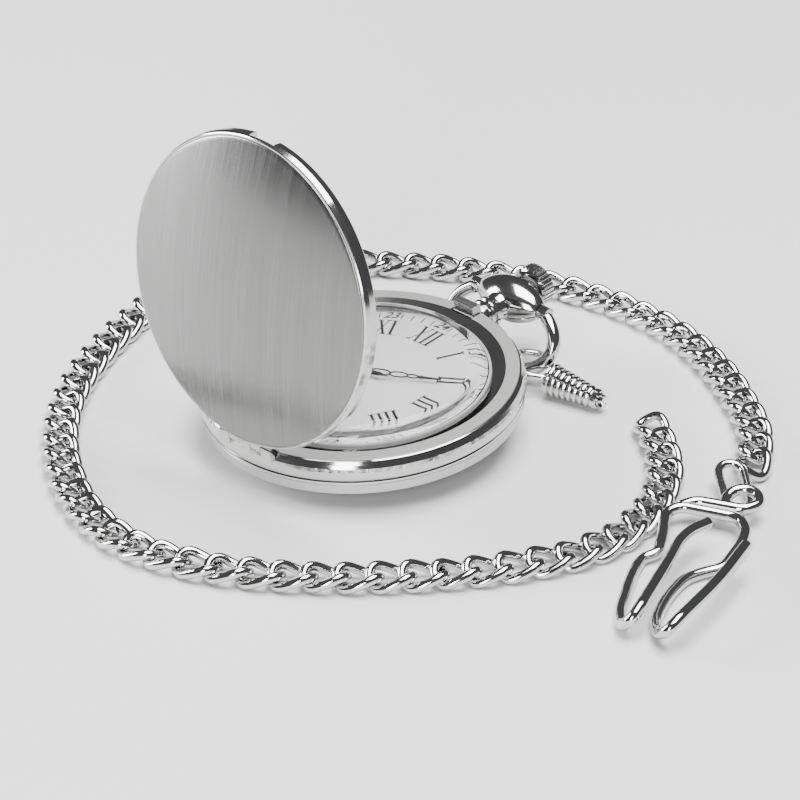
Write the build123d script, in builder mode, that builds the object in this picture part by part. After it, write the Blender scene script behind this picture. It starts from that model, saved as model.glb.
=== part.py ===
from build123d import *
import math
import os

# Hunter pocket watch with a sprung front lid, a swinging bow and a trouser chain.
#
# Millimetres, +Z up.  The origin is the middle of the flat of the case back.  The watch rests on the
# edge of that flat and on its bow, so the case leans: the pendant end stands higher than the hinge end.
# The watch is drawn on tilted planes, +Y towards the pendant (12 o'clock) and +X towards 3 o'clock.

os.makedirs("parts", exist_ok=True)

# ---------------------------------------------------------------- driving dimensions
lean = 5.44                 # tilt of the case about X, degrees
back_flat = 10.0            # radius of the flat of the back
case_radius = 23.5          # widest radius of the case
band_radius = 23.1          # brushed edge of the back cover
band_low = 3.6
band_high = 5.0
ring_outer = 22.6           # satin ring round the crystal
ring_inner = 20.6
ring_top = 8.87
bore = 19.3                 # inside of the case middle
dial_top = 7.7
dial_radius = 18.0
crystal_radius = 18.2
crystal_peak = 11.2
shoulder_top = (15.4, 10.5)     # where the dome of the crystal rounds over to its edge
plate_radius = 14.9
plate_low = 4.8
plate_high = 5.8
bridge_low = 1.5
bridge_high = 2.1
pendant_height = 6.5        # axis of stem, neck and crown above the back flat
ball_y = 31.16              # middle of the pendant ball, and the axis of the bow
ball_radius = 3.45
crown_radius = 3.25
hinge_y = -22.68
hinge_z = 8.97
lid_open = 79.6             # degrees from shut to the open stop
lid_turn = 2.2              # the lid and its hinge sit this many degrees round from 6 o'clock
lid_seam = 10.83
lid_peak = 13.4
minute_angle = 25.5         # hands, counter-clockwise from 3 o'clock
hour_angle = 144.6
second_angle = 190.0
bow_half_width = 10.2
bow_half_depth = 5.76
bow_centre_drop = 4.57      # from the bow's axis to the middle of the oval
bow_drop = 64.5             # how far the hanging bow points below the horizontal
bow_wire = 1.05
chain_diameter = 4.0
rest = back_flat * math.sin(math.radians(lean))   # the surface lies this far under the origin

# ---------------------------------------------------------------- planes of the leaning case
tilt = math.radians(lean)
watch = Plane(origin=(0, 0, 0), x_dir=(1, 0, 0), z_dir=(0, -math.sin(tilt), math.cos(tilt)))


def at(x, y, z):
    """A point of the leaning watch in the part's own frame."""
    return watch.from_local_coords(Vector(x, y, z))


def level(z, x=0.0, y=0.0, turn=0.0):
    """A plane across the watch at the height z, its own x turned from 3 o'clock."""
    angle = math.radians(turn)
    along = watch.x_dir * math.cos(angle) + watch.y_dir * math.sin(angle)
    return Plane(origin=at(x, y, z), x_dir=along, z_dir=watch.z_dir)


def crosswise(y, z=pendant_height):
    """A plane square to the pendant axis."""
    return Plane(origin=at(0, y, z), x_dir=(1, 0, 0), z_dir=watch.y_dir)


def spindle(x=0.0, y=0.0):
    """The axis of a wheel or of the case itself."""
    return Axis(at(x, y, 0), watch.z_dir)


def hinge_plane(start):
    """A plane square to the hinge axis, start millimetres from its middle."""
    turn = math.radians(lid_turn)
    along = watch.x_dir * math.cos(turn) + watch.y_dir * math.sin(turn)
    foot = at(-hinge_y * math.sin(turn), hinge_y * math.cos(turn), hinge_z)
    inward = watch.y_dir * math.cos(turn) - watch.x_dir * math.sin(turn)
    return Plane(origin=foot + along * start, x_dir=inward, z_dir=along)


def face_of(points, plane):
    """A closed outline of straight lines as a face."""
    with BuildSketch(plane, mode=Mode.PRIVATE) as outline:
        with BuildLine():
            Polyline(*points, close=True)
        make_face()
    return outline.sketch


def turned(points, x=0.0, y=0.0, mode=Mode.ADD):
    """Turn a (radius, height) outline about a spindle of the watch."""
    plane = Plane(origin=at(x, y, 0), x_dir=(1, 0, 0), z_dir=-watch.y_dir)
    revolve(face_of(points, plane), axis=spindle(x, y), mode=mode)


def turned_stem(points, mode=Mode.ADD):
    """Turn a (distance along Y, radius) outline about the pendant axis."""
    plane = Plane(origin=at(0, 0, pendant_height), x_dir=watch.y_dir, z_dir=(1, 0, 0))
    revolve(face_of(points, plane), axis=Axis(at(0, 0, pendant_height), watch.y_dir), mode=mode)


def disc(radius, low, high, x=0.0, y=0.0, mode=Mode.ADD):
    """A flat round piece, or a round hole when subtracted."""
    turned([(0, low), (radius, low), (radius, high), (0, high)], x, y, mode)


def on_cap(peak, edge_radius, edge_height, radius):
    """A point of a shallow spherical cap, from its peak and its edge."""
    drop = peak - edge_height
    ball = (edge_radius ** 2 + drop ** 2) / (2 * drop)
    return (radius, peak - ball + math.sqrt(ball ** 2 - radius ** 2))


def washer(inner, outer, low, high, x=0.0, y=0.0, mode=Mode.ADD):
    """A flat ring or a tube."""
    turned([(inner, low), (outer, low), (outer, high), (inner, high)], x, y, mode)


def toothed(teeth, module, low, high, x, y, phase):
    """A spur wheel with slim straight-sided teeth; a tooth points along phase."""
    pitch = module * teeth / 2
    flank = ((pitch - 1.2 * module, -0.33), (pitch, -0.19), (pitch + 0.85 * module, -0.08),
             (pitch + 0.85 * module, 0.08), (pitch, 0.19), (pitch - 1.2 * module, 0.33))
    outline = []
    for tooth in range(teeth):
        for radius, share in flank:
            angle = math.radians(phase + 360.0 * (tooth + share) / teeth)
            outline.append((radius * math.cos(angle), radius * math.sin(angle)))
    extrude(face_of(outline, level(low, x, y)), amount=high - low)


def mated(phase, teeth, mate_teeth, bearing):
    """Phase of the next wheel so that its gap meets a tooth of this one."""
    share = (bearing - phase) * teeth / 360.0
    return bearing + 180.0 - (0.5 - share) * 360.0 / mate_teeth


def gentle_radii(points, closed=False):
    """For each corner of a route, the largest arc that its two runs leave room for."""
    before = points[-1:] + points[:-1] if closed else points
    corners = points if closed else points[1:]
    after = points[1:] + points[:1] if closed else points[2:]
    radii = []
    for start, corner, end in zip(before, corners, after):
        arriving, leaving = corner - start, end - corner
        half_turn = math.radians(arriving.get_angle(leaving)) / 2
        radii.append(0.45 * min(arriving.length, leaving.length) / math.tan(half_turn))
    return radii


def wire(points, radii, radius, closed=False):
    """A round wire along straight runs joined by tangent arcs."""
    with BuildLine(mode=Mode.PRIVATE) as path:
        FilletPolyline(*points, radius=radii, close=closed)
    with BuildSketch(Plane(origin=path.line @ 0, z_dir=path.line % 0), mode=Mode.PRIVATE) as end:
        Circle(radius)
    sweep(end.sketch, path=path.line)


# ---------------------------------------------------------------- case
with BuildPart() as back_cover:
    with BuildSketch(Plane(origin=(0, 0, 0), x_dir=(1, 0, 0), z_dir=-watch.y_dir)):
        with BuildLine():
            Line((0, 0), (back_flat, 0))
            ThreePointArc((back_flat, 0), (17.4, 1.05), (band_radius - 0.25, band_low - 0.25))
            Polyline((band_radius - 0.25, band_low - 0.25), (band_radius, band_low),
                     (band_radius, band_high - 0.1), (band_radius - 0.1, band_high),
                     (21.75, band_high), (21.75, 4.0), (19.4, 2.75))
            ThreePointArc((19.4, 2.75), (15.2, 1.45), (9.8, 0.9))
            Polyline((9.8, 0.9), (0, 0.9), (0, 0))
        make_face()
    revolve(axis=spindle())
    # thumb lip for opening the back
    with BuildSketch(level(band_high - 0.55)):
        with PolarLocations(band_radius - 0.1, 1, start_angle=200):
            Rectangle(0.9, 4.0)
    extrude(amount=0.55)

with BuildPart() as case_middle:
    turned([(bore, 4.15), (21.65, 4.15), (21.65, 5.08), (23.2, 5.08), (23.3, 5.18), (23.3, 5.5),
            (22.95, 5.6), (22.95, 5.78), (23.34, 5.9), (23.46, 6.3), (case_radius, 6.75),
            (23.47, 7.2), (23.36, 7.7), (23.14, 8.2), (22.84, 8.62), (22.68, 8.72), (22.68, 7.5),
            (bore, 7.5)])
    # groove for the lock spring and the lid spring
    washer(19.95, 21.7, 5.35, 7.6, mode=Mode.SUBTRACT)
    # hole for the pendant tube, and the way in for the stem
    with BuildSketch(crosswise(21.4)):
        Circle(1.5)
    extrude(amount=3, mode=Mode.SUBTRACT)
    with BuildSketch(crosswise(18.5)):
        Circle(0.8)
    extrude(amount=4, mode=Mode.SUBTRACT)
    # channel for the catch block
    with BuildSketch(level(6.9, 0, 21.9)):
        Rectangle(4.4, 2.3)
    extrude(amount=3, mode=Mode.SUBTRACT)
    # hinge channel and knuckles
    with BuildSketch(hinge_plane(-5.1)):
        Circle(0.98)
    extrude(amount=10.2, mode=Mode.SUBTRACT)
    for start in (-5.0, -1.0, 3.1):
        with BuildSketch(hinge_plane(start)):
            Circle(0.9)
            with Locations((-0.45, -0.7)):
                Rectangle(0.8, 1.4)
        extrude(amount=1.9 if start != -1.0 else 2.0)
    with BuildSketch(hinge_plane(-5.2)):
        Circle(0.42)
    extrude(amount=10.4, mode=Mode.SUBTRACT)

with BuildPart() as hinge_pin:
    with BuildSketch(hinge_plane(-5.0)):
        Circle(0.38)
    extrude(amount=10.0)

with BuildPart() as bezel:
    turned([(17.8, 7.72), (ring_outer, 7.58), (ring_outer, ring_top - 0.05),
            (ring_outer - 0.05, ring_top), (ring_inner, ring_top), (18.9, 8.35), (18.6, 8.3),
            (18.6, 7.95), (17.8, 7.95)])
    with BuildSketch(level(7.4, 0, 21.75)):
        Rectangle(4.4, 2.8)
    extrude(amount=3, mode=Mode.SUBTRACT)
    with BuildSketch(hinge_plane(-5.1)):
        Circle(0.98)
    extrude(amount=10.2, mode=Mode.SUBTRACT)

with BuildPart() as crystal:
    with BuildSketch(Plane(origin=(0, 0, 0), x_dir=(1, 0, 0), z_dir=-watch.y_dir)):
        with BuildLine():
            Polyline((0, crystal_peak - 1.3), (0, crystal_peak))
            ThreePointArc((0, crystal_peak), on_cap(crystal_peak, *shoulder_top, 9.0), shoulder_top)
            ThreePointArc(shoulder_top, (17.13, 9.75), (crystal_radius, 8.4))
            Polyline((crystal_radius, 8.4), (crystal_radius, 7.97), (17.2, 7.97), (16.9, 8.35))
            ThreePointArc((16.9, 8.35), on_cap(crystal_peak - 1.3, 16.9, 8.35, 9.0),
                          (0, crystal_peak - 1.3))
        make_face()
    revolve(axis=spindle())

with BuildPart() as crystal_gasket:
    washer(crystal_radius + 0.03, 18.57, 7.97, 8.6)

with BuildPart() as back_gasket:
    washer(19.9, 21.2, 3.85, 4.12)

with BuildPart() as dial:
    washer(1.4, dial_radius, dial_top - 0.4, dial_top)

# ---------------------------------------------------------------- quartz movement
third_x, third_y = 5.04 * math.cos(math.radians(60)), 5.04 * math.sin(math.radians(60))
fifth_x, fifth_y = -5.0, 0.0
rotor_x = fifth_x + 3.15 * math.cos(math.radians(225))
rotor_y = fifth_y + 3.15 * math.sin(math.radians(225))
minute_x, minute_y = 0.0, 4.8
posts = ((-3.5, 7.6), (-8.6, 2.6), (-2.6, -4.95), (8.2, 5.6))
battery_x, battery_y = 4.5, -8.6
battery_radius = 4.75

with BuildPart() as movement_ring:
    turned([(15.0, 3.4), (17.8, 3.4), (19.15, 4.5), (19.15, 7.25), (16.0, 7.25), (16.0, 4.7),
            (15.0, 4.7)])
    with BuildSketch(crosswise(14)):
        Circle(0.8)
    extrude(amount=6, mode=Mode.SUBTRACT)

with BuildPart() as main_plate:
    disc(15.9, plate_low, plate_high)
    for x, y in posts:
        disc(0.75, bridge_high, plate_low, x, y)
        disc(0.34, bridge_high, plate_high, x, y, Mode.SUBTRACT)
    disc(0.62, plate_low - 1, plate_high + 1, mode=Mode.SUBTRACT)
    for x, y in ((third_x, third_y), (fifth_x, fifth_y), (rotor_x, rotor_y)):
        disc(0.2, plate_low - 1, plate_high + 1, x, y, Mode.SUBTRACT)
    # stud for the minute wheel
    disc(0.4, plate_high, 7.0, minute_x, minute_y)
    # pocket under the stem and the sliding pinion
    with BuildSketch(level(plate_high - 0.35, 0, 12.8)):
        Rectangle(2.4, 7.0)
    extrude(amount=1, mode=Mode.SUBTRACT)

with BuildPart() as train_bridge:
    disc(7.2, bridge_low, bridge_high, -2.4, 1.4)
    with BuildSketch(level(bridge_low, 5.0, 4.3, 22)):
        SlotOverall(9.4, 2.6)
    extrude(amount=bridge_high - bridge_low)
    for x, y in posts:
        disc(0.4, bridge_low - 1, bridge_high + 1, x, y, Mode.SUBTRACT)
    for x, y in ((0, 0), (third_x, third_y), (fifth_x, fifth_y), (rotor_x, rotor_y)):
        disc(0.2, bridge_low - 1, bridge_high + 1, x, y, Mode.SUBTRACT)

with BuildPart() as bridge_screws:
    for x, y in posts:
        turned([(0, bridge_low - 0.35), (0.8, bridge_low - 0.35), (0.8, bridge_low),
                (0.3, bridge_low), (0.3, 5.2), (0, 5.2)], x, y)
        with BuildSketch(level(bridge_low - 0.4, x, y, 30 + 20 * x)):
            Rectangle(1.7, 0.25)
        extrude(amount=0.2, mode=Mode.SUBTRACT)

with BuildPart() as battery:
    turned([(0, 1.95), (4.1, 1.95), (4.15, 2.1), (4.5, 2.15), (battery_radius, 2.35),
            (battery_radius, 4.1), (0, 4.1)], battery_x, battery_y)

with BuildPart() as battery_clamp:
    with BuildSketch(level(1.6, battery_x, battery_y, -20)):
        SlotOverall(11.0, 2.6)
        SlotOverall(6.0, 1.2, mode=Mode.SUBTRACT)
    extrude(amount=0.3)

with BuildPart() as stator:
    with BuildSketch(level(2.7, rotor_x, rotor_y, -60)):
        Rectangle(6.6, 2.2)
        Circle(1.75)
        Circle(1.3, mode=Mode.SUBTRACT)
        with Locations((-2.5, 0), (2.5, 0)):
            Circle(0.35, mode=Mode.SUBTRACT)
    extrude(amount=0.4)

with BuildPart() as coil_core:
    with BuildSketch(level(3.3, -9.6, -6.2, 142)):
        Rectangle(9.6, 0.9)
    extrude(amount=0.4)
    with BuildSketch(level(3.3, -9.6, -6.2, 142)):
        with Locations((4.3, 0), (-4.3, 0)):
            Rectangle(1.0, 2.0)
    extrude(amount=0.9)

with BuildPart() as coil:
    with BuildSketch(Plane(origin=level(3.5, -9.6, -6.2, 142).origin - level(0, 0, 0, 142).x_dir * 3.7,
                           x_dir=watch.z_dir, z_dir=level(0, 0, 0, 142).x_dir)):
        RectangleRounded(1.9, 2.3, 0.6)
        Rectangle(0.5, 1.0, mode=Mode.SUBTRACT)
    extrude(amount=7.4)

with BuildPart() as circuit_board:
    with BuildSketch(level(2.9, 10.9, -0.4, 80)):
        RectangleRounded(9.4, 3.8, 0.6)
        with Locations((3.8, 0), (-3.8, 0)):
            Circle(0.45, mode=Mode.SUBTRACT)
    extrude(amount=0.3)
    with BuildSketch(level(2.3, 11.0, -1.2, 80)):
        Circle(1.0)
    extrude(amount=0.6)

with BuildPart() as quartz_can:
    with BuildSketch(Plane(origin=at(9.0, -0.2, 4.0), x_dir=(1, 0, 0), z_dir=watch.y_dir)):
        Circle(0.72)
    extrude(amount=5.0)
    fillet(quartz_can.edges().filter_by(GeomType.CIRCLE), 0.15)

# wheels of the going train
fourth_phase = 7.0
fifth_phase = mated(fourth_phase, 40, 8, 180.0)
rotor_phase = mated(fifth_phase, 36, 6, 225.0)
third_phase = mated(fourth_phase, 8, 60, 60.0)
centre_phase = mated(third_phase, 8, 64, 240.0)

with BuildPart() as fourth_wheel:
    toothed(40, 5.0 / 24, 2.4, 2.6, 0, 0, fourth_phase)
    for spoke in range(4):
        with BuildSketch(level(2.3, 0, 0, 45 + 90 * spoke)):
            with Locations((2.3, 0)):
                Circle(0.85)
        extrude(amount=0.4, mode=Mode.SUBTRACT)
    toothed(8, 5.04 / 34, 2.6, 3.35, 0, 0, fourth_phase)
    disc(0.22, 1.9, 8.9)
    disc(0.14, 1.55, 1.9)

with BuildPart() as fifth_wheel:
    toothed(8, 5.0 / 24, 2.2, 2.75, fifth_x, fifth_y, fifth_phase)
    toothed(36, 0.15, 3.45, 3.62, fifth_x, fifth_y, fifth_phase)
    disc(0.25, 2.2, 4.7, fifth_x, fifth_y)
    disc(0.14, 1.55, 5.4, fifth_x, fifth_y)

with BuildPart() as rotor:
    toothed(6, 0.15, 3.3, 3.75, rotor_x, rotor_y, rotor_phase)
    disc(1.0, 2.45, 3.1, rotor_x, rotor_y)
    disc(0.2, 2.3, 4.6, rotor_x, rotor_y)
    disc(0.14, 1.55, 5.4, rotor_x, rotor_y)

with BuildPart() as third_wheel:
    toothed(60, 5.04 / 34, 2.9, 3.1, third_x, third_y, third_phase)
    for spoke in range(4):
        with BuildSketch(level(2.8, third_x, third_y, 30 + 90 * spoke)):
            with Locations((2.4, 0)):
                Circle(0.9)
        extrude(amount=0.4, mode=Mode.SUBTRACT)
    toothed(8, 0.14, 4.05, 4.6, third_x, third_y, third_phase)
    disc(0.22, 2.3, 4.7, third_x, third_y)
    disc(0.14, 1.55, 5.4, third_x, third_y)

with BuildPart() as centre_wheel:
    toothed(64, 0.14, 4.25, 4.42, 0, 0, centre_phase)
    for spoke in range(4):
        with BuildSketch(level(4.1, 0, 0, 15 + 90 * spoke)):
            with Locations((2.5, 0)):
                Circle(0.9)
        extrude(amount=0.5, mode=Mode.SUBTRACT)
    disc(0.55, 4.1, 6.9)
    disc(0.28, 3.9, 7.1, mode=Mode.SUBTRACT)

# motion work under the dial
cannon_phase = 0.0
minute_phase = mated(cannon_phase, 12, 36, 90.0)
hour_phase = mated(minute_phase, 10, 40, 270.0)

with BuildPart() as cannon_pinion:
    toothed(12, 0.2, 5.95, 6.3, 0, 0, cannon_phase)
    disc(0.85, 5.95, 8.5)
    disc(0.6, 5.8, 7.2, mode=Mode.SUBTRACT)
    disc(0.28, 5.8, 8.6, mode=Mode.SUBTRACT)

with BuildPart() as minute_wheel:
    toothed(36, 0.2, 6.0, 6.2, minute_x, minute_y, minute_phase)
    toothed(10, 0.192, 6.2, 6.85, minute_x, minute_y, minute_phase)
    disc(0.45, 5.9, 6.9, minute_x, minute_y, Mode.SUBTRACT)

with BuildPart() as hour_wheel:
    toothed(40, 0.192, 6.5, 6.75, 0, 0, hour_phase)
    disc(1.25, 6.5, 8.12)
    disc(0.93, 6.4, 8.2, mode=Mode.SUBTRACT)


# ---------------------------------------------------------------- hands
def hand(angle, low, thickness, hub, bore_radius, loops, bars):
    """A flat openwork hand: a hub, oval loops and tapered bars along its own x."""
    with BuildSketch(level(low, 0, 0, angle), mode=Mode.PRIVATE) as outline:
        Circle(hub)
        for middle, half_length, half_width in loops:
            with Locations((middle, 0)):
                Ellipse(half_length, half_width)
        for start, end, near_half, far_half in bars:
            with BuildLine():
                Polyline((start, -near_half), (end, -far_half), (end, far_half), (start, near_half),
                         close=True)
            make_face()
        for middle, half_length, half_width in loops:
            with Locations((middle, 0)):
                Ellipse(half_length - 0.24, half_width - 0.2, mode=Mode.SUBTRACT)
        Circle(bore_radius, mode=Mode.SUBTRACT)
    extrude(outline.sketch, amount=thickness)


with BuildPart() as hour_hand:
    hand(hour_angle, 8.0, 0.12, 1.75, 1.25,
         ((2.75, 1.25, 0.95), (4.75, 1.1, 0.78)),
         ((5.7, 6.2, 0.2, 0.55), (6.2, 6.8, 0.55, 0.22), (6.75, 8.6, 0.26, 0.12)))

with BuildPart() as minute_hand:
    hand(minute_angle, 8.32, 0.12, 1.3, 0.85,
         ((2.75, 1.72, 0.86), (5.66, 1.45, 0.72), (7.78, 0.95, 0.5)),
         ((8.55, 9.05, 0.16, 0.42), (9.05, 9.55, 0.42, 0.2), (9.5, 12.0, 0.24, 0.17)))

with BuildPart() as second_hand:
    with BuildSketch(level(8.6, 0, 0, second_angle)):
        Circle(0.75)
        with BuildLine():
            Polyline((0, -0.17), (13.8, -0.06), (13.8, 0.06), (0, 0.17), close=True)
        make_face()
        with BuildLine():
            Polyline((0, -0.2), (-3.1, -0.42), (-4.6, 0), (-3.1, 0.42), (0, 0.2), close=True)
        make_face()
        Circle(0.22, mode=Mode.SUBTRACT)
    extrude(amount=0.1)

# ---------------------------------------------------------------- pendant, crown and lock
with BuildPart() as pendant:
    turned_stem([(21.95, 1.28), (21.95, 1.45), (23.52, 1.45), (23.55, 2.25), (23.9, 2.4), (24.3, 2.2),
                 (24.45, 1.95), (24.75, 1.95), (24.9, 2.2), (25.2, 2.4), (25.5, 2.2), (25.65, 1.95),
                 (25.95, 1.95), (26.1, 2.2), (26.4, 2.4), (26.7, 2.2), (26.85, 1.95), (27.4, 1.95),
                 (28.4, 2.2), (30, 2.4), (30, 1.28)])
    with BuildSketch(Plane(origin=at(0, ball_y, pendant_height), x_dir=(1, 0, 0),
                           z_dir=watch.z_dir)):
        with BuildLine():
            Line((-5.9, 0), (-5.9, 1.2))
            Spline((-5.9, 1.2), (-3.6, 2.65), (0, ball_radius), (3.6, 2.65), (5.9, 1.2))
            Line((5.9, 1.2), (5.9, 0))
            Line((5.9, 0), (-5.9, 0))
        make_face()
    revolve(axis=Axis(at(0, ball_y, pendant_height), (1, 0, 0)))
    turned_stem([(20, 0), (20, 1.28), (36, 1.28), (36, 0)], Mode.SUBTRACT)
    for side in (-1, 1):
        with BuildSketch(Plane(origin=at(side * 4.3, ball_y, pendant_height), x_dir=(0, 1, 0),
                               z_dir=(side, 0, 0))):
            Circle(0.75)
        extrude(amount=3, mode=Mode.SUBTRACT)

with BuildPart() as pusher_sleeve:
    turned_stem([(21.68, 0.92), (21.68, 1.2), (34.1, 1.2), (34.1, 0.92)])

with BuildPart() as stem_collar:
    turned_stem([(28.6, 0.56), (28.6, 0.86), (33.4, 0.86), (33.4, 0.56)])

with BuildPart() as stem:
    turned_stem([(9.6, 0), (9.6, 0.35), (15.8, 0.35), (15.8, 0.5), (34.9, 0.5), (34.9, 0)])

with BuildPart() as sliding_pinion:
    turned_stem([(10.8, 0.38), (10.8, 0.62), (11.2, 0.7), (11.6, 0.7), (11.7, 0.55), (12.1, 0.55),
                 (12.2, 0.7), (12.6, 0.7), (12.6, 0.38)])

with BuildPart() as setting_lever:
    with BuildSketch(level(5.85, 4.2, 11.4, 25)):
        SlotOverall(6.4, 1.8)
    extrude(amount=0.4)

with BuildPart() as crown:
    with BuildSketch(crosswise(34.85)):
        Circle(crown_radius)
        with PolarLocations(crown_radius + 0.06, 30):
            Circle(0.24, mode=Mode.SUBTRACT)
    extrude(amount=2.9)
    turned_stem([(34.8, crown_radius - 0.45), (35.25, crown_radius + 0.1),
                 (34.8, crown_radius + 0.1)], Mode.SUBTRACT)
    turned_stem([(37.8, crown_radius - 0.9), (37.2, crown_radius - 0.2),
                 (37.0, crown_radius + 0.1), (37.8, crown_radius + 0.1)], Mode.SUBTRACT)
    turned_stem([(34.8, 0), (34.8, 2.2), (36.2, 2.2), (36.2, 0)], Mode.SUBTRACT)
    turned_stem([(34.88, 0.5), (34.88, 1.1), (36.3, 1.1), (36.3, 0.5)])

with BuildPart() as crown_gasket:
    turned_stem([(35.5, 1.15), (35.5, 1.9), (36.15, 1.9), (36.15, 1.15)])

with BuildPart() as catch:
    # spring strip in its groove, with the leg and the nose that holds the lid
    with BuildSketch(level(5.7)):
        with BuildLine():
            outer = CenterArc((0, 0), 21.15, 57, 66)
            inner = CenterArc((0, 0), 20.8, 57, 66)
            Line(outer @ 0, inner @ 0)
            Line(outer @ 1, inner @ 1)
        make_face()
    extrude(amount=1.5)
    with BuildSketch(level(5.5, 0, 21.2)):
        Rectangle(3.9, 0.7)
    extrude(amount=3.2)
    with BuildSketch(level(8.6, 0, 21.85)):
        Rectangle(3.9, 1.8)
    extrude(amount=1.68)
    fillet(catch.edges().filter_by(Axis.X).group_by(Axis.Z)[-1], 0.5)
    turned_stem([(19, 0), (19, 0.75), (23, 0.75), (23, 0)], Mode.SUBTRACT)

with BuildPart() as lid_spring:
    with BuildSketch(level(5.7)):
        with BuildLine():
            outer = CenterArc((0, 0), 21.3, 232, 76)
            inner = CenterArc((0, 0), 20.8, 232, 76)
            Line(outer @ 0, inner @ 0)
            Line(outer @ 1, inner @ 1)
        make_face()
    extrude(amount=1.4)

# ---------------------------------------------------------------- lid, drawn shut, then swung open
hinge = hinge_plane(0)
hinge_axis = Axis(hinge.origin, hinge.z_dir)

with BuildPart() as lid_dome:
    with BuildSketch(Plane(origin=(0, 0, 0), x_dir=(1, 0, 0), z_dir=-watch.y_dir)):
        with BuildLine():
            Line((0, lid_peak - 0.5), (0, lid_peak))
            ThreePointArc((0, lid_peak), on_cap(lid_peak, 21.6, lid_seam + 0.12, 11.0),
                          (21.6, lid_seam + 0.12))
            Polyline((21.6, lid_seam + 0.12), (21.6, lid_seam - 0.45), (21.2, lid_seam - 0.45))
            ThreePointArc((21.2, lid_seam - 0.45),
                          on_cap(lid_peak - 0.5, 21.2, lid_seam - 0.45, 11.0),
                          (0, lid_peak - 0.5))
        make_face()
    revolve(axis=spindle())

with BuildPart() as lid_rim:
    turned([(20.9, ring_top + 0.06), (22.1, ring_top + 0.06), (22.18, ring_top + 0.2),
            (22.16, 10.0), (21.95, lid_seam - 0.1), (21.8, lid_seam), (21.62, lid_seam),
            (21.62, lid_seam - 0.47), (20.9, lid_seam - 0.47), (20.9, 9.9), (21.15, 9.7),
            (21.15, 9.2), (20.9, 9.1)])
    # notch for the catch
    with BuildSketch(level(8.0, 0, 21.9)):
        Rectangle(4.5, 3.2)
    extrude(amount=2.36, mode=Mode.SUBTRACT)
    # knuckles, cleared round those of the case
    for start in (-5.08, -1.08, 3.02):
        with BuildSketch(hinge_plane(start)):
            Circle(0.98)
        extrude(amount=2.06 if start != -1.08 else 2.16, mode=Mode.SUBTRACT)
    for start in (-3.0, 1.1):
        with BuildSketch(hinge_plane(start)):
            Circle(0.9)
            with Locations((0.55, 0.55)):
                Rectangle(1.1, 0.7)
        extrude(amount=1.92)
    with BuildSketch(hinge_plane(-5.2)):
        Circle(0.42)
    extrude(amount=10.4, mode=Mode.SUBTRACT)

# ---------------------------------------------------------------- bow
drop = math.radians(bow_drop)
bow_axis_point = at(0, ball_y, pendant_height)
bow_down = Vector(0, -math.cos(drop), -math.sin(drop))
bow_plane = Plane(origin=bow_axis_point, x_dir=(1, 0, 0),
                  z_dir=Vector(1, 0, 0).cross(bow_down))
bow_cut = math.degrees(math.acos(-(bow_centre_drop - 0.55) / bow_half_depth))

with BuildPart() as bow:
    with BuildLine(bow_plane) as bow_path:
        EllipticalCenterArc((0, bow_centre_drop), bow_half_width, bow_half_depth,
                            start_angle=90 - bow_cut, arc_size=2 * bow_cut)
    with BuildSketch(Plane(origin=bow_path.line @ 0, z_dir=bow_path.line % 0)):
        Circle(bow_wire)
    sweep()
    for side in (-1, 1):
        with BuildSketch(Plane(origin=bow_axis_point + Vector(side * 6.0, 0, 0), x_dir=(0, 1, 0),
                               z_dir=(side, 0, 0))):
            Circle(bow_wire)
        extrude(amount=1.6)
        with BuildSketch(Plane(origin=bow_axis_point + Vector(side * 4.5, 0, 0), x_dir=(0, 1, 0),
                               z_dir=(side, 0, 0))):
            Circle(0.7)
        extrude(amount=1.8)

# ---------------------------------------------------------------- clasp on the bow
clasp_start = Vector(11.6, 26.6, 2.75 - rest)       # mouth of the sleeve
clasp_along = Vector(1.0, 0.17, -0.09).normalized()
clasp_side = Vector(0, 0, 1).cross(clasp_along).normalized()
clasp_wire_radius = 0.55


def on_clasp(along, across=0.0, up=0.0):
    """A point along and beside the clasp's axis."""
    lift = clasp_along.cross(clasp_side)
    return clasp_start + clasp_along * along + clasp_side * across + lift * up


with BuildPart() as clasp_wire:
    # hook round the bow
    hook = [on_clasp(0.9, 0.45), on_clasp(-0.7, 1.1, 0.1), on_clasp(-2.6, 4.4, 0.2),
            on_clasp(-5.3, 4.6, 0.2), on_clasp(-7.3, 3.2, 0.2), on_clasp(-7.3, -0.3, 0.2),
            on_clasp(-5.3, -1.5, 0.2), on_clasp(-2.6, -1.75, 0.2), on_clasp(-0.7, -0.5, 0.1),
            on_clasp(0.9, -0.45)]
    wire(hook, gentle_radii(hook), clasp_wire_radius)
    # shaft inside the sleeve
    with BuildSketch(Plane(origin=on_clasp(0.4), z_dir=clasp_along)):
        Circle(1.0)
    extrude(amount=9.1)
    # loop for the chain
    loop = [on_clasp(9.0, 0.4), on_clasp(10.4, 1.4), on_clasp(12.6, 2.3), on_clasp(14.6, 2.1),
            on_clasp(15.6, 1.0), on_clasp(15.6, -1.0), on_clasp(14.6, -2.1),
            on_clasp(12.6, -2.3), on_clasp(10.4, -1.4), on_clasp(9.0, -0.4)]
    wire(loop, gentle_radii(loop), clasp_wire_radius)

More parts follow.
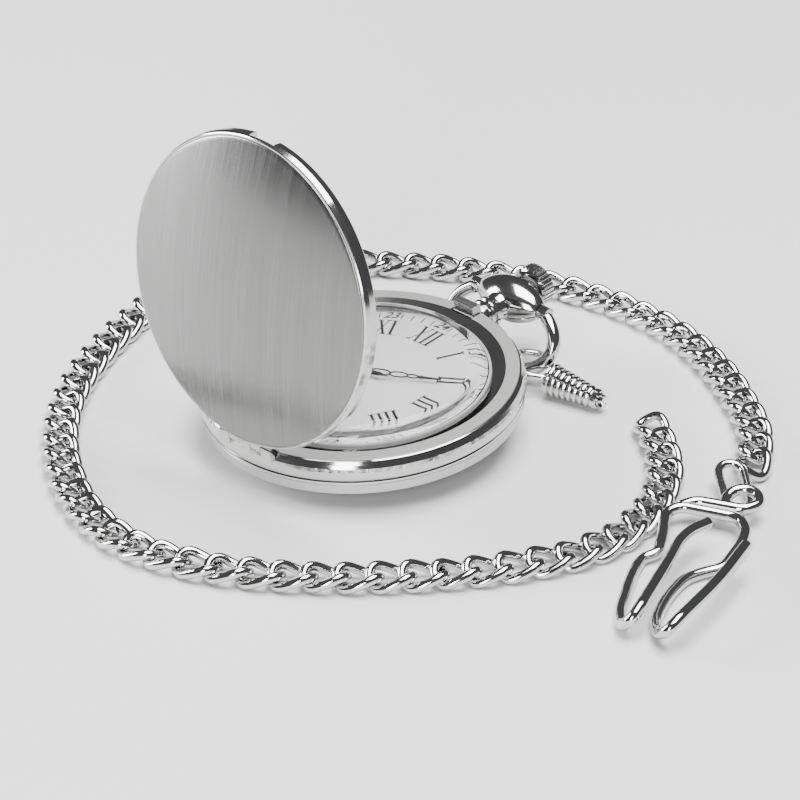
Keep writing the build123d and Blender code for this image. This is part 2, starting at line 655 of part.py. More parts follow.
sleeve_length = 8.6
sleeve_bore = 1.1
sleeve_mouth = 2.5
sleeve_collar = 1.55        # radius of the plain end
ribs = 8
rib_pitch = 0.92
with BuildPart() as clasp_sleeve:
    outline = [(sleeve_bore, 1.4), (sleeve_bore + 0.9, 0.0), (sleeve_mouth - 0.25, 0.0)]
    for rib in range(ribs):
        start = 0.15 + rib * rib_pitch
        crest = sleeve_mouth - (sleeve_mouth - sleeve_collar - 0.1) * rib / (ribs - 1)
        outline += [(crest - 0.3, start), (crest - 0.08, start + 0.14), (crest, start + 0.36),
                    (crest, start + 0.52), (crest - 0.08, start + 0.74)]
    outline += [(sleeve_collar - 0.18, 0.15 + ribs * rib_pitch), (sleeve_collar, 0.5 + ribs * rib_pitch),
                (sleeve_collar, sleeve_length - 0.15), (sleeve_collar - 0.15, sleeve_length),
                (sleeve_bore, sleeve_length)]
    sleeve_plane = Plane(origin=clasp_start, x_dir=clasp_side,
                         z_dir=clasp_side.cross(clasp_along))
    revolve(face_of(outline, sleeve_plane), axis=Axis(clasp_start, clasp_along))

# ---------------------------------------------------------------- chain, link and trouser clip
chain_route = ((28.7, 29.0), (36.2, 23.9), (42.4, 16.6), (46.4, 7.2), (47.0, -2.8), (42.8, -12.9),
               (36.9, -22.0), (29.8, -30.6), (21.4, -38.4), (11.7, -44.5), (0.8, -47.3),
               (-9.8, -45.2), (-20.0, -39.9), (-29.0, -32.9), (-36.4, -24.4), (-41.9, -15.4),
               (-46.4, -5.4), (-49.9, 4.6), (-50.2, 15.2), (-46.0, 25.2), (-38.6, 33.8),
               (-30.0, 41.0), (-20.6, 47.6), (-9.6, 51.9), (1.6, 53.9), (13.0, 53.4),
               (24.2, 49.3), (34.6, 43.0), (43.2, 36.4), (47.2, 30.1))
chain_height = chain_diameter / 2 - rest
chain_points = [Vector(x, y, chain_height) for x, y in chain_route]
chain_radii = gentle_radii(chain_points)
print("chain bend radii", [round(radius, 1) for radius in chain_radii])

with BuildPart() as chain:
    wire(chain_points, chain_radii, chain_diameter / 2)

with BuildPart() as end_link:
    # one end lies on the surface inside the clip's eye, the other on the last of the chain
    link_middle = Vector(49.6, 23.0, 2.05 - rest)
    link_along = Vector(0.76, -0.60, -0.26).normalized()
    link_side = Vector(0, 0, 1).cross(link_along).normalized()
    corners = []
    for along, across in ((3.2, 1.75), (4.4, 0.8), (4.4, -0.8), (3.2, -1.75),
                          (-3.2, -1.75), (-4.4, -0.8), (-4.4, 0.8), (-3.2, 1.75)):
        corners.append(link_middle + link_along * along + link_side * across)
    wire(corners, gentle_radii(corners, closed=True), 0.62, closed=True)

clip_middle = Vector(51.8, 14.9, -rest)
clip_along = Vector(0.415, -0.91, 0).normalized()
clip_side = Vector(-clip_along.Y, clip_along.X, 0)


def on_clip(along, across, up):
    """A point of the trouser clip: along its hooks, across them, and above the surface."""
    return clip_middle + clip_along * along + clip_side * across + Vector(0, 0, up)


clip_wire = 0.8

with BuildPart() as trouser_clip:
    # one wire: the left hook, the cross bar and the right hook
    hooks = [on_clip(6.0, 1.4, 4.2), on_clip(8.8, -0.2, 4.3), on_clip(12.2, -0.9, 4.4),
             on_clip(17.0, -0.8, 4.5), on_clip(29.4, -1.2, 4.3), on_clip(31.2, -1.9, 3.1),
             on_clip(30.4, -3.3, 1.3), on_clip(26.0, -4.8, clip_wire), on_clip(16.4, -5.9, clip_wire),
             on_clip(12.6, -5.7, clip_wire), on_clip(11.3, -3.9, 1.2), on_clip(6.4, -4.6, 1.7),
             on_clip(2.4, -5.6, 2.1), on_clip(0.5, -4.0, 2.5), on_clip(0.5, 4.2, 2.5),
             on_clip(2.6, 5.9, 2.2), on_clip(6.0, 6.2, 2.0), on_clip(11.8, 5.2, 1.2),
             on_clip(13.2, 2.8, clip_wire), on_clip(15.6, 1.0, clip_wire),
             on_clip(20.7, 0.0, clip_wire), on_clip(26.4, 0.1, clip_wire), on_clip(30.6, 1.6, 1.5),
             on_clip(32.3, 3.2, 3.2), on_clip(30.8, 4.2, 4.4), on_clip(20.0, 6.8, 4.8),
             on_clip(10.4, 7.7, 4.6)]
    wire(hooks, gentle_radii(hooks), clip_wire)
    # the second bar, bent round into the eye that holds the link
    eye = [on_clip(0.5, -4.0, 2.5), on_clip(-1.2, -2.3, 2.8), on_clip(-1.2, 4.6, 2.9),
           on_clip(-2.9, 6.2, 3.1), on_clip(-4.8, 5.6, 3.4), on_clip(-5.6, 4.0, 3.6),
           on_clip(-5.0, 2.2, 3.4), on_clip(-3.2, 1.4, 2.9), on_clip(-1.2, 1.9, 2.6)]
    wire(eye, gentle_radii(eye), clip_wire)

# ---------------------------------------------------------------- one file for each piece
pieces = {
    "back_cover": back_cover, "case_middle": case_middle, "hinge_pin": hinge_pin, "bezel": bezel,
    "crystal": crystal, "crystal_gasket": crystal_gasket, "back_gasket": back_gasket,
    "dial": dial, "movement_ring": movement_ring, "main_plate": main_plate,
    "train_bridge": train_bridge, "bridge_screws": bridge_screws, "battery": battery,
    "battery_clamp": battery_clamp, "stator": stator, "coil_core": coil_core, "coil": coil,
    "circuit_board": circuit_board, "quartz_can": quartz_can, "rotor": rotor,
    "fifth_wheel": fifth_wheel, "fourth_wheel": fourth_wheel, "third_wheel": third_wheel,
    "centre_wheel": centre_wheel, "cannon_pinion": cannon_pinion, "minute_wheel": minute_wheel,
    "hour_wheel": hour_wheel, "hour_hand": hour_hand, "minute_hand": minute_hand,
    "second_hand": second_hand, "pendant": pendant, "pusher_sleeve": pusher_sleeve,
    "stem_collar": stem_collar, "stem": stem, "sliding_pinion": sliding_pinion,
    "setting_lever": setting_lever, "crown": crown, "crown_gasket": crown_gasket,
    "catch": catch, "lid_spring": lid_spring, "lid_dome": lid_dome, "lid_rim": lid_rim,
    "bow": bow, "clasp_wire": clasp_wire, "clasp_sleeve": clasp_sleeve, "chain": chain,
    "end_link": end_link, "trouser_clip": trouser_clip,
}
for name, piece in pieces.items():
    finished = piece.part
    if name in ("lid_dome", "lid_rim"):
        finished = finished.rotate(hinge_axis, lid_open)
    finished.label = name
    export_step(finished, f"parts/{name}.step")
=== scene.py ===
import math
import random

import bmesh
import bpy
from mathutils import Matrix, Vector


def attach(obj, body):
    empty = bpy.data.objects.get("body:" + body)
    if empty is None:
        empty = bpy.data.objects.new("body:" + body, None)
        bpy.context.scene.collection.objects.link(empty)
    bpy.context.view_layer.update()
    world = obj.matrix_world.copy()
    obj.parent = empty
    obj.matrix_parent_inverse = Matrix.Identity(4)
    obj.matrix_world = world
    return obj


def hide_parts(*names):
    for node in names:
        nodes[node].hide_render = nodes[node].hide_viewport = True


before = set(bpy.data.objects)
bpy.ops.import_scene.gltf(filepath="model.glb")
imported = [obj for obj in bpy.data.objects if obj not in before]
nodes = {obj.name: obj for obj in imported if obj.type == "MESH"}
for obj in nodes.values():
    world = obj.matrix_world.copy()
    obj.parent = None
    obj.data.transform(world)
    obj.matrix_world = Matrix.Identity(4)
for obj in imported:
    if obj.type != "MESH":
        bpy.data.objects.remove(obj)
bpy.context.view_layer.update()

MM = 0.001
LEAN = math.radians(5.44)                # the case leans on the edge of its back flat
LID_OPEN = math.radians(79.6)
BACK_FLAT_RADIUS = 10.0
SURFACE = -BACK_FLAT_RADIUS * math.sin(LEAN) * MM    # what the watch lies on
DIAL_TOP = 7.7


def at(x, y, z):
    """A point of the leaning watch, given in millimetres, in the row frame."""
    return Vector((x, y * math.cos(LEAN) - z * math.sin(LEAN),
                   y * math.sin(LEAN) + z * math.cos(LEAN))) * MM


LID_TURN = math.radians(2.2)             # the hinge sits this far round from 6 o'clock
HINGE_RADIUS, HINGE_HEIGHT = 22.68, 8.97


def on_lid(x, y, z):
    """A point of the lid, given in millimetres as if it were shut, where it stands open."""
    along = Vector((math.cos(LID_TURN), math.sin(LID_TURN) * math.cos(LEAN),
                    math.sin(LID_TURN) * math.sin(LEAN)))
    hinge = at(HINGE_RADIUS * math.sin(LID_TURN), -HINGE_RADIUS * math.cos(LID_TURN), HINGE_HEIGHT)
    return hinge + Matrix.Rotation(LID_OPEN, 3, along) @ (at(x, y, z) - hinge)


# ---------------------------------------------------------------- camera
def make_camera():
    """A long lens at the front right of the watch, a little above it."""
    place = Vector((268.39, -264.96, 212.12)) * MM
    target = Vector((-2.59, 9.69, -0.95)) * MM
    roll = math.radians(0.70)
    forward = (target - place).normalized()
    level_right = forward.cross(Vector((0, 0, 1))).normalized()
    level_up = level_right.cross(forward)
    right = level_right * math.cos(roll) + level_up * math.sin(roll)
    up = level_up * math.cos(roll) - level_right * math.sin(roll)
    data = bpy.data.cameras.new("camera")
    data.lens = 135.08
    data.sensor_width = 36
    data.clip_start = 0.01
    data.clip_end = 10
    camera = bpy.data.objects.new("camera", data)
    turn = Matrix((right, up, -forward)).transposed().to_4x4()
    camera.matrix_world = Matrix.Translation(place) @ turn
    bpy.context.scene.collection.objects.link(camera)
    bpy.context.scene.camera = camera


# ---------------------------------------------------------------- meshes
def new_piece(name, vertices, faces, body=None, sharp_angle=35.0):
    """A smooth-shaded mesh with its hard edges kept, riding on a body."""
    mesh = bpy.data.meshes.new(name)
    mesh.from_pydata([tuple(v) for v in vertices], [], faces)
    work = bmesh.new()
    work.from_mesh(mesh)
    bmesh.ops.recalc_face_normals(work, faces=work.faces)
    limit = math.radians(sharp_angle)
    for face in work.faces:
        face.smooth = True
    for edge in work.edges:
        edge.smooth = len(edge.link_faces) == 2 and edge.calc_face_angle() < limit
    work.to_mesh(mesh)
    work.free()
    piece = bpy.data.objects.new(name, mesh)
    bpy.context.scene.collection.objects.link(piece)
    if body:
        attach(piece, body)
    return piece


def ring_of(centre, across, up, radius, sides):
    """Points of a circle about centre, in the plane of across and up."""
    points = []
    for side in range(sides):
        angle = 2 * math.pi * side / sides
        points.append(centre + across * (radius * math.cos(angle)) + up * (radius * math.sin(angle)))
    return points


def closed_wire(path, radius, sides, vertices, faces):
    """Adds a round wire along a closed path to the lists of vertices and faces."""
    count = len(path)
    first = len(vertices)
    for i, point in enumerate(path):
        along = (path[(i + 1) % count] - path[i - 1]).normalized()
        across = along.cross(Vector((0, 0, 1)) + along * 0.01).normalized()
        vertices += ring_of(point, across, across.cross(along), radius, sides)
    for i in range(count):
        here, after = first + i * sides, first + ((i + 1) % count) * sides
        for side in range(sides):
            beside = (side + 1) % sides
            faces.append((here + side, here + beside, after + beside, after + side))


def lathe(name, profile, body, steps=192, sharp_angle=35.0, place=at):
    """A piece turned about the watch's axis from (radius, height) points; a closed outline."""
    vertices, faces, rings = [], [], []
    for radius, height in profile:
        if radius == 0:
            rings.append([len(vertices)] * steps)
            vertices.append(place(0, 0, height))
            continue
        rings.append(list(range(len(vertices), len(vertices) + steps)))
        for step in range(steps):
            angle = 2 * math.pi * step / steps
            vertices.append(place(radius * math.cos(angle), radius * math.sin(angle), height))
    for near, far in zip(rings, rings[1:] + rings[:1]):
        for step in range(steps):
            after = (step + 1) % steps
            face = [near[step], near[after], far[after], far[step]]
            corners = list(dict.fromkeys(face))
            if len(corners) > 2:
                faces.append(tuple(corners))
    return new_piece(name, vertices, faces, body, sharp_angle)


def arc(centre, radius, start, end, steps):
    """(radius, height) points along an arc, angles in degrees from the outward direction."""
    points = []
    for step in range(steps + 1):
        angle = math.radians(start + (end - start) * step / steps)
        points.append((centre[0] + radius * math.cos(angle), centre[1] + radius * math.sin(angle)))
    return points


# ---------------------------------------------------------------- material nodes
class Nodes:
    """A material being wired up, with short calls for the nodes used here."""

    def __init__(self, name):
        self.material = bpy.data.materials.new(name)
        self.material.use_nodes = True
        self.tree = self.material.node_tree
        self.tree.nodes.clear()
        output = self.tree.nodes.new("ShaderNodeOutputMaterial")
        self.shader = self.tree.nodes.new("ShaderNodeBsdfPrincipled")
        self.join(self.shader.outputs[0], output.inputs["Surface"])

    def join(self, source, target):
        self.tree.links.new(source, target)

    def place(self):
        """Object coordinates, which are the row frame's, in metres."""
        return self.tree.nodes.new("ShaderNodeTexCoord").outputs["Object"]

    def turned_place(self, angle):
        """Object coordinates turned about X, so that a leaning piece lies level."""
        turn = self.tree.nodes.new("ShaderNodeVectorRotate")
        turn.rotation_type = "X_AXIS"
        turn.inputs["Angle"].default_value = angle
        self.join(self.place(), turn.inputs["Vector"])
        return turn.outputs[0]

    def stretched(self, vector, scale):
        """Coordinates scaled by their own amount along each axis."""
        mapping = self.tree.nodes.new("ShaderNodeMapping")
        mapping.inputs["Scale"].default_value = scale
        self.join(vector, mapping.inputs["Vector"])
        return mapping.outputs[0]

    def noise(self, vector, scale=1.0, detail=3.0, roughness=0.55):
        texture = self.tree.nodes.new("ShaderNodeTexNoise")
        texture.inputs["Scale"].default_value = scale
        texture.inputs["Detail"].default_value = detail
        texture.inputs["Roughness"].default_value = roughness
        self.join(vector, texture.inputs["Vector"])
        return texture.outputs[0]

    def ranged(self, value, low, high, start=0.3, end=0.7):
        """Maps a value from start..end to low..high; noise keeps mostly to 0.3..0.7."""
        node = self.tree.nodes.new("ShaderNodeMapRange")
        node.inputs["From Min"].default_value = start
        node.inputs["From Max"].default_value = end
        node.inputs["To Min"].default_value = low
        node.inputs["To Max"].default_value = high
        self.join(value, node.inputs["Value"])
        return node.outputs[0]

    def maths(self, operation, first, second=None):
        """A sum on sockets or plain numbers."""
        node = self.tree.nodes.new("ShaderNodeMath")
        node.operation = operation
        for socket, value in zip(node.inputs, (first, second)):
            if value is None:
                continue
            if isinstance(value, (int, float)):
                socket.default_value = value
            else:
                self.join(value, socket)
        return node.outputs[0]

    def axis_distance(self, split):
        """Distance from the Z axis of a point that has been split into X, Y and Z."""
        return self.maths("SQRT", self.maths("ADD", self.maths("POWER", split.outputs[0], 2.0),
                                             self.maths("POWER", split.outputs[1], 2.0)))

    def ramp(self, value, dark, light, start=0.3, end=0.7):
        node = self.tree.nodes.new("ShaderNodeValToRGB")
        low, high = node.color_ramp.elements
        low.position, high.position = start, end
        low.color, high.color = (*dark, 1), (*light, 1)
        self.join(value, node.inputs["Fac"])
        return node.outputs[0]

    def bump(self, height, strength, distance, under=None):
        node = self.tree.nodes.new("ShaderNodeBump")
        node.inputs["Strength"].default_value = strength
        node.inputs["Distance"].default_value = distance
        self.join(height, node.inputs["Height"])
        if under is not None:
            self.join(under, node.inputs["Normal"])
        return node.outputs[0]

    def set(self, **values):
        for name, value in values.items():
            socket = self.shader.inputs[name.replace("_", " ")]
            if isinstance(value, bpy.types.NodeSocket):
                self.join(value, socket)
            else:
                socket.default_value = value


# ---------------------------------------------------------------- materials
def polished_steel(name, shade=0.57, smooth=0.09, scuff=0.10):
    """Bright steel with faint wiping marks, fine hairlines and slightly dull patches."""
    m = Nodes(name)
    place = m.place()
    smudge = m.noise(place, 160, 4)
    hairline = m.noise(m.stretched(place, (900, 5200, 900)), 1, 5, 0.7)
    m.set(Metallic=1.0,
          Base_Color=m.ramp(smudge, (shade * 0.93, shade * 0.93, shade * 0.92),
                            (shade, shade, shade * 0.985)),
          Roughness=m.ranged(smudge, smooth * 0.8, smooth * 1.5),
          Normal=m.bump(hairline, scuff, 0.004 * MM))
    return m.material


def brushed_steel(name, angle, shade=0.52, along=(5200, 45, 45), rough=(0.19, 0.31), grain=0.4):
    """Steel brushed in straight lines: fast change across the lines, slow change along them."""
    m = Nodes(name)
    place = m.turned_place(angle)
    fine = m.noise(m.stretched(place, along), 1, 6, 0.75)
    broad = m.noise(m.stretched(place, tuple(s * 0.22 for s in along)), 1, 3, 0.6)
    blotch = m.noise(place, 70, 3)
    lines = m.maths("ADD", m.maths("MULTIPLY", fine, 0.7), m.maths("MULTIPLY", broad, 0.3))
    m.set(Metallic=1.0,
          Base_Color=m.ramp(lines, (shade * 0.80, shade * 0.80, shade * 0.79),
                            (shade * 1.12, shade * 1.115, shade * 1.10)),
          Roughness=m.maths("ADD", m.ranged(lines, rough[0], rough[1]),
                            m.ranged(blotch, -0.03, 0.03)),
          Normal=m.bump(lines, grain, 0.012 * MM))
    return m.material


def turned_steel(name, shade=0.54, rough=(0.22, 0.32), grain=0.3, lines=5200.0, angle=-LEAN):
    """Steel finished on a lathe: fine circles about the watch's axis."""
    m = Nodes(name)
    place = m.turned_place(angle)
    split = m.tree.nodes.new("ShaderNodeSeparateXYZ")
    m.join(place, split.inputs[0])
    radius = m.axis_distance(split)
    join = m.tree.nodes.new("ShaderNodeCombineXYZ")
    m.join(m.maths("MULTIPLY", radius, lines), join.inputs[0])
    m.join(m.maths("MULTIPLY", split.outputs[2], lines), join.inputs[1])
    circles = m.noise(join.outputs[0], 1, 5, 0.7)
    m.set(Metallic=1.0,
          Base_Color=m.ramp(circles, (shade * 0.86,) * 3, (shade * 1.08,) * 3),
          Roughness=m.ranged(circles, rough[0], rough[1]),
          Normal=m.bump(circles, grain, 0.01 * MM))
    return m.material


def bezel_steel(name, slope_radius=20.6 * MM):
    """Fine grain on the flat ring; the slope inside it is polished."""
    m = Nodes(name)
    place = m.turned_place(-LEAN)
    split = m.tree.nodes.new("ShaderNodeSeparateXYZ")
    m.join(place, split.inputs[0])
    radius = m.axis_distance(split)
    on_flat = m.ranged(radius, 0.0, 1.0, slope_radius - 0.03 * MM, slope_radius + 0.03 * MM)
    grain = m.noise(m.place(), 7000, 4, 0.7)
    cloud = m.noise(m.place(), 130, 3)
    flat_rough = m.ranged(grain, 0.30, 0.42)
    m.set(Metallic=1.0, Base_Color=m.ramp(cloud, (0.56, 0.555, 0.54), (0.62, 0.615, 0.60)),
          Roughness=m.maths("ADD", 0.12, m.maths("MULTIPLY", flat_rough, on_flat)),
          Normal=m.bump(m.maths("MULTIPLY", grain, on_flat), 0.35, 0.006 * MM))
    return m.material


def clear_glass(name):
    """Clear glass with faint wiping marks."""
    m = Nodes(name)
    wipe = m.noise(m.place(), 120, 3)
    m.set(Base_Color=(0.985, 0.99, 0.99, 1), IOR=1.5, Transmission_Weight=1.0,
          Roughness=m.ranged(wipe, 0.0, 0.012))
    return m.material


def dial_enamel(name):
    """Matt white with the faintest grain."""
    m = Nodes(name)
    grain = m.noise(m.place(), 9000, 3)
    cloud = m.noise(m.place(), 90, 2)
    m.set(Base_Color=m.ramp(cloud, (0.90, 0.90, 0.89), (0.93, 0.93, 0.92)),
          Roughness=m.ranged(grain, 0.42, 0.55), Normal=m.bump(grain, 0.12, 0.004 * MM))
    return m.material


def printed_black(name):
    """The black of the hands and the dial's printing."""
    m = Nodes(name)
    edge = m.noise(m.place(), 14000, 2)
    m.set(Base_Color=m.ramp(edge, (0.008, 0.008, 0.009), (0.02, 0.02, 0.021)),
          Roughness=m.ranged(edge, 0.3, 0.45))
    return m.material


def coloured(name, dark, light, rough, metallic=0.0, scale=900.0, grain=0.15):
    """A plain engineering finish: two close shades, grain and a little unevenness."""
    m = Nodes(name)
    cloud = m.noise(m.place(), scale, 4)
    fine = m.noise(m.place(), scale * 8, 2)
    m.set(Base_Color=m.ramp(cloud, dark, light), Metallic=metallic,
          Roughness=m.ranged(fine, rough * 0.8, rough * 1.25),
          Normal=m.bump(fine, grain, 0.006 * MM))
    return m.material


def paint_nodes():
    """Gives every CAD node its material."""
    polished = polished_steel("polished_steel")
    wire = polished_steel("wire_steel", 0.60, 0.07, 0.08)
    turned = turned_steel("satin_ring")
    # The dome's base colour (0.23) is far darker than the other steel: painted shade, standing in
    # for the dark surroundings the lid reflects.
    dome = brushed_steel("brushed_dome_painted_shade", -(LEAN + LID_OPEN), 0.23)
    back = turned_steel("brushed_band", 0.50, (0.26, 0.36), 0.4, 4200.0)
    gears = coloured("gear_brass", (0.62, 0.46, 0.20), (0.76, 0.60, 0.30), 0.25, 1.0)
    plates = coloured("plate_metal", (0.58, 0.52, 0.38), (0.68, 0.62, 0.47), 0.3, 1.0)
    nylon = coloured("gear_plastic", (0.78, 0.78, 0.74), (0.86, 0.86, 0.83), 0.35)
    holder = coloured("holder_plastic", (0.70, 0.70, 0.66), (0.78, 0.78, 0.75), 0.5)
    seal = coloured("gasket", (0.30, 0.30, 0.30), (0.36, 0.36, 0.36), 0.6)
    screws = coloured("screw_steel", (0.40, 0.42, 0.46), (0.52, 0.54, 0.58), 0.22, 1.0)
    copper = coloured("coil_copper", (0.55, 0.22, 0.10), (0.72, 0.34, 0.18), 0.3, 1.0, 4000.0, 0.4)
    board = coloured("board_green", (0.01, 0.10, 0.05), (0.02, 0.16, 0.08), 0.3)
    black = printed_black("hand_black")
    finishes = {
        "case_middle": polished, "bezel": bezel_steel("bezel_steel"),
        "lid_rim": polished, "lid_dome": dome,
        "back_cover": back, "pendant": polished, "crown": polished, "catch": turned,
        "hinge_pin": wire, "bow": wire, "clasp_wire": wire, "clasp_sleeve": polished,
        "end_link": wire, "trouser_clip": wire, "chain": wire,
        "crystal": clear_glass("crystal"), "dial": dial_enamel("dial_white"),
        "hour_hand": black, "minute_hand": black, "second_hand": black,
        "crystal_gasket": seal, "back_gasket": seal, "crown_gasket": seal,
        "movement_ring": holder, "main_plate": plates, "train_bridge": plates,
        "bridge_screws": screws, "battery": turned, "battery_clamp": turned,
        "stator": turned, "coil_core": turned, "coil": copper, "circuit_board": board,
        "quartz_can": turned, "rotor": nylon, "fifth_wheel": nylon, "fourth_wheel": nylon,
        "third_wheel": nylon, "centre_wheel": gears, "cannon_pinion": gears,
        "minute_wheel": gears, "hour_wheel": gears, "pusher_sleeve": turned,
        "stem_collar": turned, "stem": turned, "sliding_pinion": turned,
        "setting_lever": turned, "lid_spring": turned,
    }
    for name, material in finishes.items():
        nodes[name].data.materials.clear()
        nodes[name].data.materials.append(material)
    return {"chain": wire, "print": black}


# ---------------------------------------------------------------- chain
CHAIN_ROUTE = ((28.7, 29.0), (36.2, 23.9), (42.4, 16.6), (46.4, 7.2), (47.0, -2.8), (42.8, -12.9),
               (36.9, -22.0), (29.8, -30.6), (21.4, -38.4), (11.7, -44.5), (0.8, -47.3),
               (-9.8, -45.2), (-20.0, -39.9), (-29.0, -32.9), (-36.4, -24.4), (-41.9, -15.4),
               (-46.4, -5.4), (-49.9, 4.6), (-50.2, 15.2), (-46.0, 25.2), (-38.6, 33.8),
               (-30.0, 41.0), (-20.6, 47.6), (-9.6, 51.9), (1.6, 53.9), (13.0, 53.4),
               (24.2, 49.3), (34.6, 43.0), (43.2, 36.4), (47.9, 28.6))
LINK_WIRE = 0.69          # radius of a link's wire, mm
LINK_HALF_LENGTH = 2.9
LINK_HALF_WIDTH = 2.08
LINK_TWIST = 0.78         # how far a link's sides rise and fall
LINK_PITCH = 4.35
LINK_ROLL = 5.0           # how far a link may lean to either side, degrees
LINK_STEPS, LINK_SIDES = 40, 14


def route_line(height):
    """The chain's smooth centre line as closely spaced points."""
    curve = bpy.data.curves.new("chain_route", "CURVE")
    curve.dimensions = "3D"
    curve.resolution_u = 24
    spline = curve.splines.new("NURBS")
    spline.points.add(len(CHAIN_ROUTE) - 1)
    for point, (x, y) in zip(spline.points, CHAIN_ROUTE):
        point.co = (x * MM, y * MM, height, 1)
    spline.order_u = 3
    spline.use_endpoint_u = True
    holder = bpy.data.objects.new("chain_route", curve)
    bpy.context.scene.collection.objects.link(holder)
    line = [v.co.copy() for v in bpy.data.meshes.new_from_object(holder).vertices]
    bpy.data.objects.remove(holder)
    return line


def spaced(line, pitch):
    """Points and directions along a line, evenly spaced."""
    total = sum((b - a).length for a, b in zip(line, line[1:]))
    count = round(total / pitch)
    step = total / count
    stations, walked, wanted = [], 0.0, step / 2
    for a, b in zip(line, line[1:]):
        length = (b - a).length
        while walked + length >= wanted and len(stations) < count:
            along = (b - a).normalized()
            stations.append((a + along * (wanted - walked), along))
            wanted += step
        walked += length
    return stations, total


def make_chain(material):
    """A curb chain: every link is an oval of round wire twisted to lie flat in its neighbours."""
    line = route_line(SURFACE + (LINK_TWIST + LINK_WIRE) * MM)
    stations, total = spaced(line, LINK_PITCH * MM)
    draw = random.Random(7)
    vertices, faces = [], []
    for centre, along in stations:
        side = Vector((0, 0, 1)).cross(along)
        roll = math.radians(draw.uniform(-LINK_ROLL, LINK_ROLL))
        across = side * math.cos(roll) + Vector((0, 0, 1)) * math.sin(roll)
        upward = along.cross(across)
        lift = abs(math.sin(roll)) * LINK_HALF_WIDTH * 0.5
        path = []
        for i in range(LINK_STEPS):
            angle = 2 * math.pi * i / LINK_STEPS
            x = LINK_HALF_LENGTH * math.copysign(abs(math.cos(angle)) ** 0.9, math.cos(angle))
            y = LINK_HALF_WIDTH * math.copysign(abs(math.sin(angle)) ** 0.85, math.sin(angle))
            z = lift - LINK_TWIST * math.sin(2 * angle)
            path.append(centre + (along * x + across * y + upward * z) * MM)
        closed_wire(path, LINK_WIRE * MM, LINK_SIDES, vertices, faces)
    piece = new_piece("chain_links", vertices, faces, "chain_body")
    piece.data.materials.append(material)
    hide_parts("chain")
    tuple(line[0])
    [tuple(p) for p in line]


# ---------------------------------------------------------------- dial printing
NUMERALS = ("XII", "I", "II", "III", "IIII", "V", "VI", "VII", "VIII", "IX", "X", "XI")
NUMERAL_HEIGHT = 4.0
NUMERAL_RADIUS = 13.2
THICK, THIN, SERIF = 0.42, 0.15, 0.15
WIDTHS = {"I": 1.05, "V": 2.15, "X": 2.2}
MINUTE_INNER, MINUTE_OUTER, MINUTE_HALF_WIDTH = 15.75, 17.1, 0.09
DIGIT_RADIUS = 16.55
DIGIT_HALF_THICKNESS = 0.01


def stroke(start, end, width):
    """A straight stroke cut off level at its top and bottom."""
    (x0, y0), (x1, y1) = start, end
    half = width / 2
    return [(x0 - half, y0), (x0 + half, y0), (x1 + half, y1), (x1 - half, y1)]


def bar(middle, y, width):
    """A serif: a thin level stroke."""
    half, thin = width / 2, SERIF / 2
    return [(middle - half, y - thin), (middle + half, y - thin), (middle + half, y + thin),
            (middle - half, y + thin)]


def letter(sign, x):
    """The strokes of one Roman letter, its middle at x."""
    top = NUMERAL_HEIGHT / 2 - SERIF / 2
    if sign == "I":
        return [stroke((x, -top), (x, top), THICK), bar(x, top, 0.95), bar(x, -top, 0.95)]
    if sign == "V":
        return [stroke((x + 0.05, -top), (x - 0.64, top), THICK),
                stroke((x + 0.18, -top), (x + 0.72, top), THIN),
                bar(x - 0.64, top, 0.9), bar(x + 0.72, top, 0.7)]
    return [stroke((x + 0.62, -top), (x - 0.62, top), THICK),
            stroke((x - 0.66, -top), (x + 0.66, top), THIN),
            bar(x - 0.62, top, 0.9), bar(x + 0.66, top, 0.7),
            bar(x + 0.62, -top, 0.9), bar(x - 0.66, -top, 0.7)]


def on_dial(angle, across, outward, height):
    """A point of the dial: across and outward from the middle, turned clockwise from 12."""
    x = across * math.cos(angle) + outward * math.sin(angle)
    y = outward * math.cos(angle) - across * math.sin(angle)
    return at(x, y, DIAL_TOP + height)


def printed(name, outlines, material, thickness=0.02):
    """Flat printing on the dial: each outline is (angle, list of (across, outward))."""
    vertices, faces = [], []
    for angle, outline in outlines:
        first, count = len(vertices), len(outline)
        for height in (0.0, thickness):
            vertices += [on_dial(angle, u, v, height) for u, v in outline]
        faces.append(tuple(range(first + count, first + 2 * count)))
        faces.append(tuple(reversed(range(first, first + count))))
        for i in range(count):
            j = (i + 1) % count
            faces.append((first + i, first + j, first + count + j, first + count + i))
    piece = new_piece(name, vertices, faces, "case")
    piece.data.materials.append(material)


def make_dial_printing(material):
    """The Roman hours, the minute marks between them and the small digits."""
    hours = []
    for hour, numeral in enumerate(NUMERALS):
        angle = math.radians(30 * hour)
        x = -sum(WIDTHS[sign] for sign in numeral) / 2
        for sign in numeral:
            middle = x + WIDTHS[sign] / 2
            hours += [(angle, [(u, v + NUMERAL_RADIUS) for u, v in outline])
                      for outline in letter(sign, middle)]
            x += WIDTHS[sign]
    printed("dial_numerals", hours, material)
    dashes = []
    for minute in range(60):
        if minute % 5:
            outline = [(-MINUTE_HALF_WIDTH, MINUTE_INNER), (MINUTE_HALF_WIDTH, MINUTE_INNER),
                       (MINUTE_HALF_WIDTH, MINUTE_OUTER), (-MINUTE_HALF_WIDTH, MINUTE_OUTER)]
            dashes.append((math.radians(6 * minute), outline))
    printed("dial_minutes", dashes, material)
    make_digits(material)


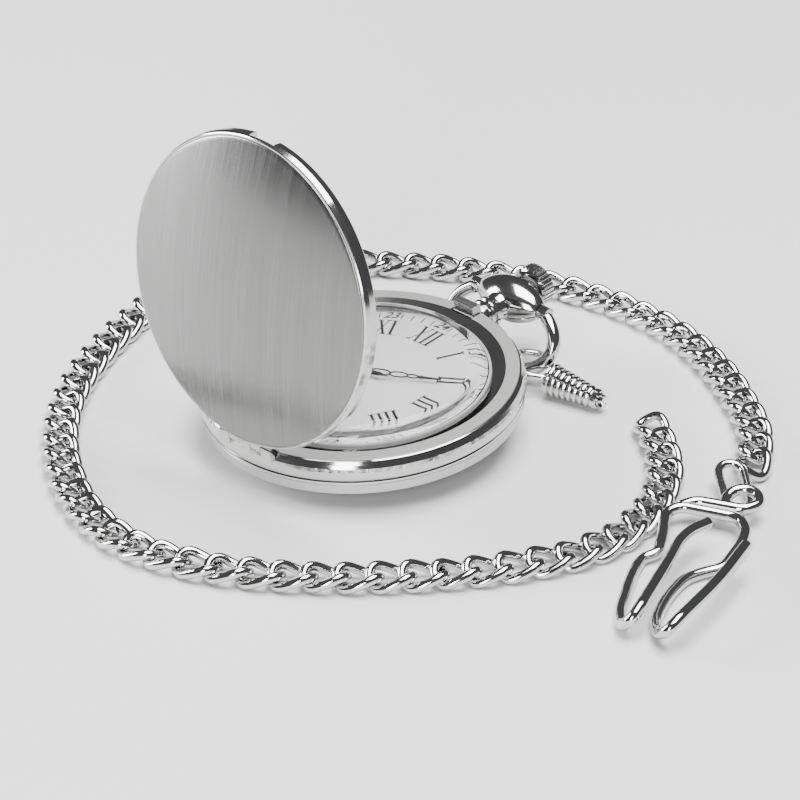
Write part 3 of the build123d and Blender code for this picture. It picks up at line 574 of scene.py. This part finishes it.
def make_digits(material):
    """The small slanted 13 to 24 at the hours."""
    vertices, faces = [], []
    for hour in range(12):
        text = bpy.data.curves.new("digits", "FONT")
        text.body = str(hour + 12 if hour else 24)
        text.size = 2.3
        text.shear = 0.35
        text.offset = 0.045
        text.extrude = DIGIT_HALF_THICKNESS
        text.resolution_u = 4
        text.align_x, text.align_y = "CENTER", "CENTER"
        holder = bpy.data.objects.new("digits", text)
        bpy.context.scene.collection.objects.link(holder)
        mesh = bpy.data.meshes.new_from_object(holder)
        first = len(vertices)
        angle = math.radians(30 * hour)
        vertices += [on_dial(angle, v.co.x, v.co.y + DIGIT_RADIUS, v.co.z + DIGIT_HALF_THICKNESS)
                     for v in mesh.vertices]
        faces += [tuple(first + i for i in face.vertices) for face in mesh.polygons]
        bpy.data.objects.remove(holder)
    piece = new_piece("dial_digits", vertices, faces, "case")
    piece.data.materials.append(material)


# ---------------------------------------------------------------- lid and crystal
def cap(peak, radius, height, steps):
    """(radius, height) points of a shallow dome, from its middle to its edge."""
    drop = peak - height
    ball = (radius ** 2 + drop ** 2) / (2 * drop)
    points = []
    for step in range(steps + 1):
        out = radius * step / steps
        points.append((out, peak - ball + math.sqrt(ball ** 2 - out ** 2)))
    return points


def make_lid_dome(material):
    """The brushed dome of the lid, its edge rounded over into the seam of the rim."""
    outside = cap(13.4, 21.3, 11.03, 48)
    edge = [(21.46, 10.97), (21.56, 10.9), (21.6, 10.8), (21.6, 10.38), (21.2, 10.38)]
    inside = list(reversed(cap(12.9, 21.1, 10.45, 32)))
    piece = lathe("lid_dome_skin", outside + edge + inside, "lid", 256, 40, on_lid)
    piece.data.materials.append(material)
    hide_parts("lid_dome")


def make_crystal(material):
    """A domed glass with a rounded shoulder."""
    outside = cap(11.2, 15.9, 10.45, 24)
    shoulder = arc((15.75, 8.1), 2.38, 82, 10, 14)
    rim = [(18.2, 8.4), (18.2, 7.97), (17.2, 7.97)]
    inside = list(reversed(cap(9.9, 16.9, 8.35, 24)))
    piece = lathe("crystal_glass", outside + shoulder + rim + inside, "case", 192, 50)
    piece.data.materials.append(material)
    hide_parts("crystal")


# ---------------------------------------------------------------- floor and light
def make_floor():
    """A plain pale floor that the watch lies on."""
    size = 3.0
    corners = [(-size, -size, SURFACE), (size, -size, SURFACE), (size, size, SURFACE),
               (-size, size, SURFACE)]
    floor = new_piece("floor", corners, [(0, 1, 2, 3)])
    m = Nodes("floor")
    cloud = m.noise(m.place(), 3, 3)
    m.set(Base_Color=m.ramp(cloud, (0.70, 0.70, 0.70), (0.74, 0.74, 0.735)), Roughness=0.55)
    floor.data.materials.append(m.material)


def make_light(name, place, target, size, power, size_y):
    """A soft rectangular light at place, facing target."""
    data = bpy.data.lights.new(name, "AREA")
    data.shape = "RECTANGLE"
    data.size = size
    data.size_y = size_y
    data.energy = power
    light = bpy.data.objects.new(name, data)
    light.location = place
    light.rotation_mode = "QUATERNION"
    light.rotation_quaternion = (Vector(target) - Vector(place)).to_track_quat("-Z", "Y")
    bpy.context.scene.collection.objects.link(light)


def make_lights():
    """A large light overhead, two smaller ones low down and a dim grey surround."""
    make_light("key", (0.10, 0.05, 0.85), (0, 0, 0), 0.8, 23.0, size_y=0.6)
    make_light("side", (-0.75, -0.42, 0.30), (0, 0, 0.02), 0.30, 12.0, size_y=0.55)
    make_light("front", (0.45, -0.75, 0.30), (0, 0, 0.02), 0.22, 6.0, size_y=0.5)
    world = bpy.data.worlds.new("studio")
    world.use_nodes = True
    background = world.node_tree.nodes["Background"]
    background.inputs["Color"].default_value = (0.62, 0.63, 0.65, 1)
    background.inputs["Strength"].default_value = 0.17
    bpy.context.scene.world = world


make_camera()
finishes = paint_nodes()
make_chain(finishes["chain"])
make_dial_printing(finishes["print"])
make_lid_dome(nodes["lid_dome"].data.materials[0])
make_crystal(nodes["crystal"].data.materials[0])
make_floor()
make_lights()
